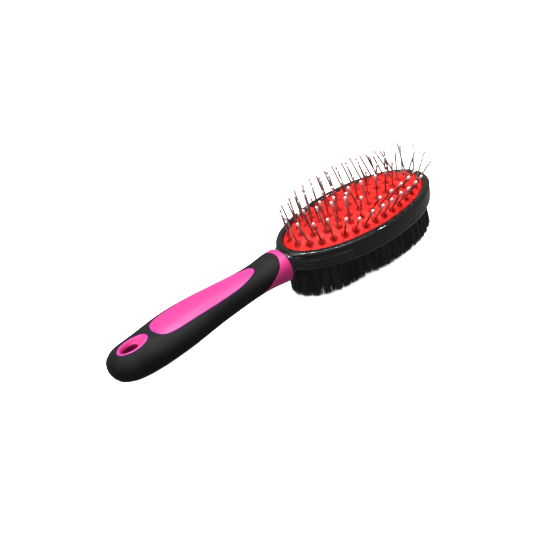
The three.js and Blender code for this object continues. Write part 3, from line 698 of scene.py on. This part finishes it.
def make_body():
    M = Mesh()
    wall = rounded([(2.0, Z_BODY_LOW), (0.42, Z_BODY_LOW), (0.12, 22.7), (0.12, 25.9), (0.30, 26.02), (0.30, 26.18), (0.12, 26.3),
                    (0.12, 28.0), (0.45, Z_BODY_TOP), (SKIRT_W, Z_BODY_TOP), (SKIRT_W, Z_SEAT), (5.6, Z_SEAT), (6.1, Z_FLOOR), (8.0, Z_FLOOR)],
                   [0, 0.25, 0.5, 0.06, 0.04, 0.04, 0.06, 0.2, 0.15, 0.1, 0.1, 0.2, 0.3, 0], closed=False, k=4)
    prof = [(24.0, Z_BODY_LOW), (12.0, Z_BODY_LOW)] + [tuple(p) for p in wall] + [(14.0, Z_FLOOR), (24.0, Z_FLOOR)]
    M.loft([oval(o, z, SEG) for o, z in prof], cap0=True, cap1=True)
    tray = M.object("head_body_gloss", GLOSS, sharp=45)
    # neck: from the collar it spreads and flattens into the oval wall
    st = np.array([(1.3, 8.7, 8.0, 22.9), (2.6, 9.0, 7.8, 23.0), (4.2, 10.0, 7.0, 23.6), (6.5, 12.2, 6.0, 24.2), (9.5, 14.2, 5.2, 24.4), (13, 15.0, 4.0, 24.4)])
    f = [spline(st[:, 0], st[:, k]) for k in (1, 2, 3)]
    th = 2 * np.pi * np.arange(72) / 72

    def ring(x, w, t, z):
        return np.stack([np.full(72, float(x)), w * np.cos(th), z + t * np.sin(th)], 1)
    M = Mesh()
    xs = np.linspace(1.3, 13.0, 30)
    # the neck's root carries on as the round tang inside the handle
    rings = [ring(-24.0, 4.4, 4.4, 23.05), ring(-23.4, 5.0, 5.0, 23.05), ring(0.9, 5.0, 5.0, 23.05), ring(1.22, 5.0, 5.0, 23.0), ring(1.3, 5.3, 5.3, 23.0), ring(1.3, 8.2, 7.5, 22.92)]
    rings += [ring(x, f[0](x) - (0.25 if x == xs[0] else 0), f[1](x) - (0.25 if x == xs[0] else 0), f[2](x)) for x in xs]
    M.loft(rings, cap0=True, cap1=True)
    neck = M.object("neck_tmp", GLOSS, sharp=45)
    for z0, z1, o in ((Z_BODY_TOP + 0.02, 45, -0.3), (4, Z_BODY_LOW, -0.3), (Z_SEAT, 40, SKIRT_W)):
        C = Mesh()
        C.loft([oval(o, z, SEG) for z in (z0, z1)], cap0=True, cap1=True)
        boolean(neck, C.object("cut_tmp", GLOSS, sharp=None), "DIFFERENCE")
    C = Mesh()
    C.loft([oval(6.1, Z_FLOOR, SEG), oval(5.6, Z_SEAT, SEG), oval(5.6, 40, SEG)], cap0=True, cap1=True)
    boolean(neck, C.object("cut_tmp", GLOSS, sharp=None), "DIFFERENCE")
    boolean(tray, neck, "UNION")
    tidy(tray)
    tray.data.polygons.foreach_set("use_smooth", np.ones(len(tray.data.polygons), bool))
    tray.data.set_sharp_from_angle(angle=math.radians(32))
    return tray


body = make_body()
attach(body, "brush"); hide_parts("head_body")


# ------------------------------------------------------------ pins and cushion
def along_oval(a, b, n, phase):
    t = 2 * np.pi * np.arange(2881) / 2880
    p = np.stack([a * np.cos(t), b * np.sin(t)], 1)
    L = np.concatenate([[0], np.cumsum(np.hypot(*np.diff(p, axis=0).T))])
    s = (np.arange(n) + phase) / n * L[-1]
    x, y = np.interp(s, L, p[:, 0]), np.interp(s, L, p[:, 1])
    nx, ny = x / a ** 2, y / b ** 2
    q = np.hypot(nx, ny)
    return np.stack([HEAD_X + x, y, nx / q, ny / q], 1)


CA, CB = HEAD_A - RIM_O, HEAD_B - RIM_O


def dome(i):
    return RIM_Z + DOME_H * (1 - (1 - np.clip(i, 0, CB) / CB) ** DOME_P)


def inset_at(xy):
    """How far in from the cushion's edge a point lies, by the nested ovals."""
    lo, hi = np.zeros(len(xy)), np.full(len(xy), CB - 1e-4)
    for _ in range(40):
        o = (lo + hi) / 2
        g = (xy[:, 0] / (CA - o)) ** 2 + (xy[:, 1] / (CB - o)) ** 2 < 1
        lo, hi = np.where(g, o, lo), np.where(g, hi, o)
    return lo


def wire(lean):
    k = min(1.0, LEAN_MAX / math.hypot(*lean))
    x, y = lean[0] * k, lean[1] * k
    return np.array([x, y, math.sqrt(1 - x * x - y * y)])


pin_sets = []
for name, inset, n, phase, parts in PIN_RINGS:
    P = along_oval(CA - inset, CB - inset, n, phase)
    pin_sets.append((name, parts, [(np.array([p[0], p[1], float(dome(inset))]), wire(q), PIN_L + PROUD[name].get(i, 0)) for i, (p, q) in enumerate(zip(P, LEAN[name]))]))
pin_sets.append(("centre", 2, [(np.array([HEAD_X + x, 0.0, float(dome(CB))]), wire(q), PIN_L) for x, q in zip(CENTRE_PINS, LEAN["centre"])]))
all_pins = [p for s in pin_sets for p in s[2]]


def make_cushion():
    pts, edges, n = [], [], 0

    def ring(p):
        nonlocal n
        k = len(p)
        pts.append(p)
        edges.extend([(n + j, n + (j + 1) % k) for j in range(k)])
        n += k
    NR = 224
    t = 2 * np.pi * np.arange(NR) / NR
    for o in (0.0, 0.18, 0.45, 0.9):
        ring(np.stack([(CA - o) * np.cos(t), (CB - o) * np.sin(t)], 1))
    centres = np.array([p[0][:2] - [HEAD_X, 0] for p in all_pins])
    RAD = (0.42, 0.66, 0.90, 1.14, 1.40, 1.70, 2.05, 2.45)
    for c in centres:
        for j, r in enumerate(RAD):
            a = 2 * np.pi * (np.arange(16) + 0.5 * (j % 2)) / 16
            ring(c + r * np.stack([np.cos(a), np.sin(a)], 1))
    R = np.concatenate(pts)
    gx, gy = np.meshgrid(np.arange(-CA, CA, 0.95), np.arange(-CB, CB, 0.95))
    gx = gx + (np.arange(gx.shape[0]) % 2)[:, None] * 0.475
    g = np.stack([gx.ravel(), gy.ravel()], 1)
    g = g[(g[:, 0] / (CA - 1.3)) ** 2 + (g[:, 1] / (CB - 1.3)) ** 2 < 1]
    d = np.sqrt(((g[:, None] - R[None]) ** 2).sum(-1)).min(1)
    g = g[d > 0.5]
    pts.append(g)
    allp = np.concatenate(pts)
    vo, _, fo, ov, _, _ = delaunay_2d_cdt([Vector(p) for p in allp], edges, [], 0, 1e-7)
    xy = np.array([tuple(v) for v in vo])
    ins = inset_at(xy)
    ins[(xy[:, 0] / CA) ** 2 + (xy[:, 1] / CB) ** 2 > 0.99995] = 0
    z = dome(ins)
    dd = np.sqrt(((xy[:, None] - centres[None]) ** 2).sum(-1))
    near, dist = dd.argmin(1), dd.min(1)
    # nub: a low cone with a soft foot, and a dimple where the wire comes out
    q = np.clip((2.45 - dist) / (2.45 - 0.85), 0, 1)
    h = 1.45 * q * q * (3 - 2 * q) - 0.25 * np.clip((0.9 - dist) / 0.45, 0, 1)
    dirs = np.array([p[1] for p in all_pins])[near]
    P = np.stack([xy[:, 0] + HEAD_X, xy[:, 1], z + h], 1)
    P[:, :2] += dirs[:, :2] / dirs[:, 2:] * np.clip(h - 0.5 * ELBOW, 0, None)[:, None] * 0.8
    M = Mesh()
    M.add(P, [tuple(f) for f in fo])
    tt = 2 * np.pi * np.arange(NR) / NR
    under = [(RIM_O, RIM_Z), (RIM_O, FLANGE_Z1 + 0.1), (RIM_O - 0.1, FLANGE_Z1), (FLANGE_O + 0.15, FLANGE_Z1), (FLANGE_O, FLANGE_Z1 - 0.15), (FLANGE_O, FLANGE_Z0 + 0.15), (FLANGE_O + 0.15, FLANGE_Z0),
             (RIM_O + 1.4, FLANGE_Z0), (RIM_O + 1.6, FLANGE_Z0 + 0.2), (RIM_O + 1.7, 29.2)]
    under += [(RIM_O + i, float(dome(i)) - SKIN) for i in (3, 5, 7.5, 10, 13, 16, 19, 22, 23.8)]
    M.loft([oval(o, zz, NR) for o, zz in under], cap1=True)
    o = M.object("red_air_cushion", RED, sharp=60, merge=0.01)
    co = np.array([v.co for v in o.data.vertices]) / MM
    base = np.array([p[0] for p in all_pins])
    rel = co[:, None] - base[None]
    r = np.sqrt((rel ** 2).sum(-1)).min(1)
    # painted shade round each pin's root: full within 1.15 mm of its base, gone at 2.75 mm
    painted_pin_shade = np.clip((2.75 - r) / 1.6, 0, 1)
    painted_pin_shade = painted_pin_shade * painted_pin_shade * (3 - 2 * painted_pin_shade)
    painted_pin_shade[co[:, 2] < RIM_Z - 0.05] = 0
    a = o.data.attributes.new("painted_pin_shade", "FLOAT", "POINT")
    a.data.foreach_set("value", painted_pin_shade.astype(np.float32))
    return o


cushion = make_cushion()
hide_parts("pin_cushion")
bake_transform(cushion)


def frame_of(d):
    a = np.cross(d, [0.0, 1.0, 0.0] if abs(d[1]) < 0.9 else [1.0, 0.0, 0.0])
    a /= np.linalg.norm(a)
    return a, np.cross(d, a)


def lathe(M, base, d, prof, n):
    a, b = frame_of(d)
    t = 2 * np.pi * np.arange(n) / n
    M.loft([base + d * h + r * (np.cos(t)[:, None] * a + np.sin(t)[:, None] * b) for r, h in prof], cap0=True, cap1=True)


def bent_wire(M, base, d, L, n=12):
    """Upright through the skin, a short bend just above it, then straight."""
    up, bend = np.array([0.0, 0.0, 1.0]), base + [0, 0, ELBOW]
    run = [(base + up * h, up, r) for h, r in ((-2.25, 0.9), (-2.15, 1.0), (-1.85, 1.0), (-1.78, 0.9), (-1.7, PIN_R), (-0.6, PIN_R))]
    p0, p2 = bend - up * 0.55, bend + d * 0.75
    for t in np.linspace(0, 1, 6):
        g = up * (1 - t) * 0.55 + d * t * 0.75
        run.append((p0 * (1 - t) ** 2 + bend * 2 * t * (1 - t) + p2 * t * t, g / np.linalg.norm(g), PIN_R))
    run += [(bend + d * h, d, r) for h, r in ((L * 0.5, PIN_R), (L - 1.3, PIN_R), (L - 1.1, PIN_R * 0.6))]
    a = 2 * np.pi * np.arange(n) / n
    rings = []
    for c, w, r in run:
        u = np.array([1.0, 0, 0]) - w * w[0]
        u /= np.linalg.norm(u)
        v = np.cross(w, u)
        rings.append(c + r * (np.cos(a)[:, None] * u + np.sin(a)[:, None] * v))
    M.loft(rings, cap0=True, cap1=True)


for name, parts, pins in pin_sets:
    per = len(pins) // parts
    for k in range(parts):
        letter = "abcdefgh"[k]
        W, B = Mesh(), Mesh()
        for base, d, long in pins[k * per:(k + 1) * per]:
            L = long - ELBOW + rng.uniform(-0.2, 0.0)
            # wire with a pressed head under the skin, bent where it leaves the skin
            bent_wire(W, base, d, L)
            # drop of resin run over the wire's end
            lathe(B, base + [0, 0, ELBOW], d, [(PIN_R + 0.01, L - 2.7), (PIN_R + 0.05, L - 2.45), (0.60, L - 2.1), (0.69, L - 1.7), (0.77, L - 1.3), (BALL_R, L - 0.95),
                                               (0.78, L - 0.6), (0.68, L - 0.3), (0.48, L - 0.1), (0.24, L - 0.02), (0.05, L)], 16)
        w = W.object(f"pin_wires_{name}_{letter}", STEEL, sharp=50, fix=False)
        t = B.object(f"pin_tips_{name}_{letter}", RESIN, sharp=None, fix=False)
        for o in (w, t):
            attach(o, f"pins_{name}")
        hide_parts(f"pins_{name}_{letter}")


# -------------------------------------------------------------------- bristles
def bell(a, mid, width):
    d = (a - mid + 180) % 360 - 180
    return math.exp(-(d / width) ** 2)


def filaments(M, c, splay, count, run, root_run=1.75):
    """One tuft: round at its hole in the plate, spreading along the run and a little across it."""
    x, y, nx, ny = c
    n, t = np.array([nx, ny]), np.array([-ny, nx])
    ang = rng.uniform(0, 2 * np.pi)
    wave = rng.normal(0, 0.22, 2)
    at = math.degrees(math.atan2(y / HEAD_B, (x - HEAD_X) / HEAD_A)) % 360
    rim = splay > 1
    if rim:
        # the outer ring is combed inwards on one side of the handle end and outwards on the other
        splay += -2.4 * bell(at, 158, 34) + 1.3 * bell(at, 212, 20)
    # worn shorter along the front
    worn = (1.7 * bell(at, 246, 17) + 0.7 * bell(at, 275, 22) + abs(rng.normal(0, 0.45)) * bell(at, 245, 45)) * (1 if rim else 0.6)
    for i in range(count):
        rr = math.sqrt((i + 0.5) / count)
        a = ang + i * 2.39996
        p = np.array([math.cos(a), math.sin(a)]) * rr
        root = np.array([x, y]) + n * p[0] * 1.20 + t * p[1] * root_run
        out = p * [1.62, run] + rng.normal(0, 0.2, 2)
        out[0] = np.clip(out[0], -1.85, 1.85)
        tip = np.array([x, y]) + n * (out[0] + splay) + t * out[1] + n * wave[0] * 0.3 + t * wave[1]
        z1 = rng.uniform(0.0, 0.45) + 0.35 * rr * rr * rng.random() + (rng.uniform(0.4, 1.5) if rng.random() < 0.1 else 0) + worn
        mid = (root + tip) / 2 - (tip - root) * 0.05 + rng.normal(0, 0.12, 2)
        r = 0.135 + rng.uniform(-0.015, 0.02)
        ph = rng.uniform(0, 2 * np.pi)
        tri = np.array([[math.cos(ph + q * 2.0944), math.sin(ph + q * 2.0944)] for q in range(3)])
        rings = []
        for s in (0.0, 0.3, 0.58, 0.82, 1.0):
            c2 = (1 - s) ** 2 * root + 2 * s * (1 - s) * mid + s * s * tip
            z = BRISTLE_TOP + 0.3 + (z1 - BRISTLE_TOP - 0.3) * s
            rad = r * (1.0 if s < 0.99 else 0.72)
            rings.append(np.concatenate([c2 + tri * rad, np.full((3, 1), z)], 1))
        M.loft(rings, cap0=True, cap1=True)


for name, a, b, n, parts, splay, count in TUFT_RINGS:
    at = along_oval(a, b, n, 0.5)
    pitch = np.hypot(*(at[1, :2] - at[0, :2]))
    for k in range(parts):
        i0, i1 = round(k * n / parts), round((k + 1) * n / parts)
        M = Mesh()
        for c in at[i0:i1]:
            filaments(M, c, splay, count, pitch * 0.60, pitch * 0.47)
        o = M.object(f"tufts_{name}_{'abcdefgh'[k]}", NYLON, sharp=None, fix=False)
        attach(o, "brush"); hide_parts(f"bristles_{name}_{'abcdefgh'[k]}")
half, cb, n, parts, count = CENTRE_ROW
for k, s in enumerate((1, -1)):
    M = Mesh()
    for i in range(n // 2):
        x = half * (1 - 2 * i / (n // 2 - 1))
        filaments(M, (HEAD_X + x, s * cb * math.sqrt(max(0.4, 1 - (x / 33) ** 2)), 0.0, float(s)), 0.0, count, 3.0, 2.0)
    o = M.object(f"tufts_centre_{'ab'[k]}", NYLON, sharp=None, fix=False)
    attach(o, "brush"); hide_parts(f"bristles_centre_{'ab'[k]}")

# ---------------------------------------------------------------- floor, light
M = Mesh()
g = np.linspace(-3000, 3000, 9)
M.add([(x, y, -0.05) for x in g for y in g], [(i * 9 + j, (i + 1) * 9 + j, (i + 1) * 9 + j + 1, i * 9 + j + 1) for i in range(8) for j in range(8)])
fm, nt, b = material("pale_floor")
nt.links.new(mix(nt, remap(nt, noise(nt, 3, 2), 0, 1), (0.90, 0.90, 0.90), (0.92, 0.92, 0.92)), b.inputs["Base Color"])
b.inputs["Roughness"].default_value = 0.9
b.inputs["Specular IOR Level"].default_value = 0.0
b.inputs["Emission Color"].default_value = (1, 1, 1, 1)
b.inputs["Emission Strength"].default_value = 0.80
floor = M.object("floor", fm, sharp=None)
floor.visible_diffuse = floor.visible_glossy = False

world = bpy.data.worlds.new("studio")
scene.world = world
world.use_nodes = True
nt = world.node_tree
tc, sep = nt.nodes.new("ShaderNodeTexCoord"), nt.nodes.new("ShaderNodeSeparateXYZ")
ramp = nt.nodes.new("ShaderNodeValToRGB")
ramp.color_ramp.elements[0].color, ramp.color_ramp.elements[1].color = (0.36, 0.36, 0.36, 1), (0.60, 0.60, 0.60, 1)
mid = ramp.color_ramp.elements.new(0.5)
mid.color = (0.44, 0.44, 0.44, 1)
nt.links.new(tc.outputs["Generated"], sep.inputs[0])
nt.links.new(remap(nt, sep.outputs["Z"], 0, 1, -1, 1), ramp.inputs[0])
nt.links.new(ramp.outputs[0], nt.nodes["Background"].inputs["Color"])
nt.nodes["Background"].inputs["Strength"].default_value = 1.0


def softbox(name, at, target, size, size_y, power, spread=180):
    d = bpy.data.lights.new(name, "AREA")
    d.shape, d.size, d.size_y, d.energy = "RECTANGLE", size, size_y, power
    d.spread = math.radians(spread)
    o = bpy.data.objects.new(name, d)
    scene.collection.objects.link(o)
    o.location = at
    o.rotation_euler = (Vector(target) - Vector(at)).to_track_quat("-Z", "Y").to_euler()
    return o


softbox("top", (0.05, 0.1, 1.3), (0, 0, 0), 1.2, 1.2, 21)
softbox("left", (-1.0, 0.1, 0.8), (0, 0, 0.02), 0.5, 1.0, 5)
# three narrow strips overhead, for the glints along the bezel
softbox("strip_a", (0.02, 0.32, 1.2), (0.0572, 0, 0.03), 0.44, 0.034, 13.0)
softbox("strip_b", (0.22, -0.30, 1.2), (0.0572, 0, 0.03), 0.20, 0.028, 3.0)
softbox("strip_c", (0.78, 0.02, 1.2), (0.0572, 0, 0.03), 0.38, 0.034, 9.0)

# --------------------------------------------------------------------- camera
cam = bpy.data.cameras.new("camera")
cam.lens, cam.sensor_width, cam.sensor_fit = 62.80, 36.0, "HORIZONTAL"
cam.clip_start, cam.clip_end = 0.01, 20.0
co = bpy.data.objects.new("camera", cam)
scene.collection.objects.link(co)
right = Vector((0.77049976, -0.61197071, -0.17838715))
up = Vector((0.45603486, 0.3336725, 0.82504234))
fwd = Vector((0.44537886, 0.71704569, -0.53617455))
rot = Matrix((right, up, -fwd)).transposed().to_4x4()
co.matrix_world = Matrix.Translation(Vector((-232.91, -361.116, 296.888)) * MM) @ rot
scene.camera = co
scene.view_settings.view_transform = "Standard"
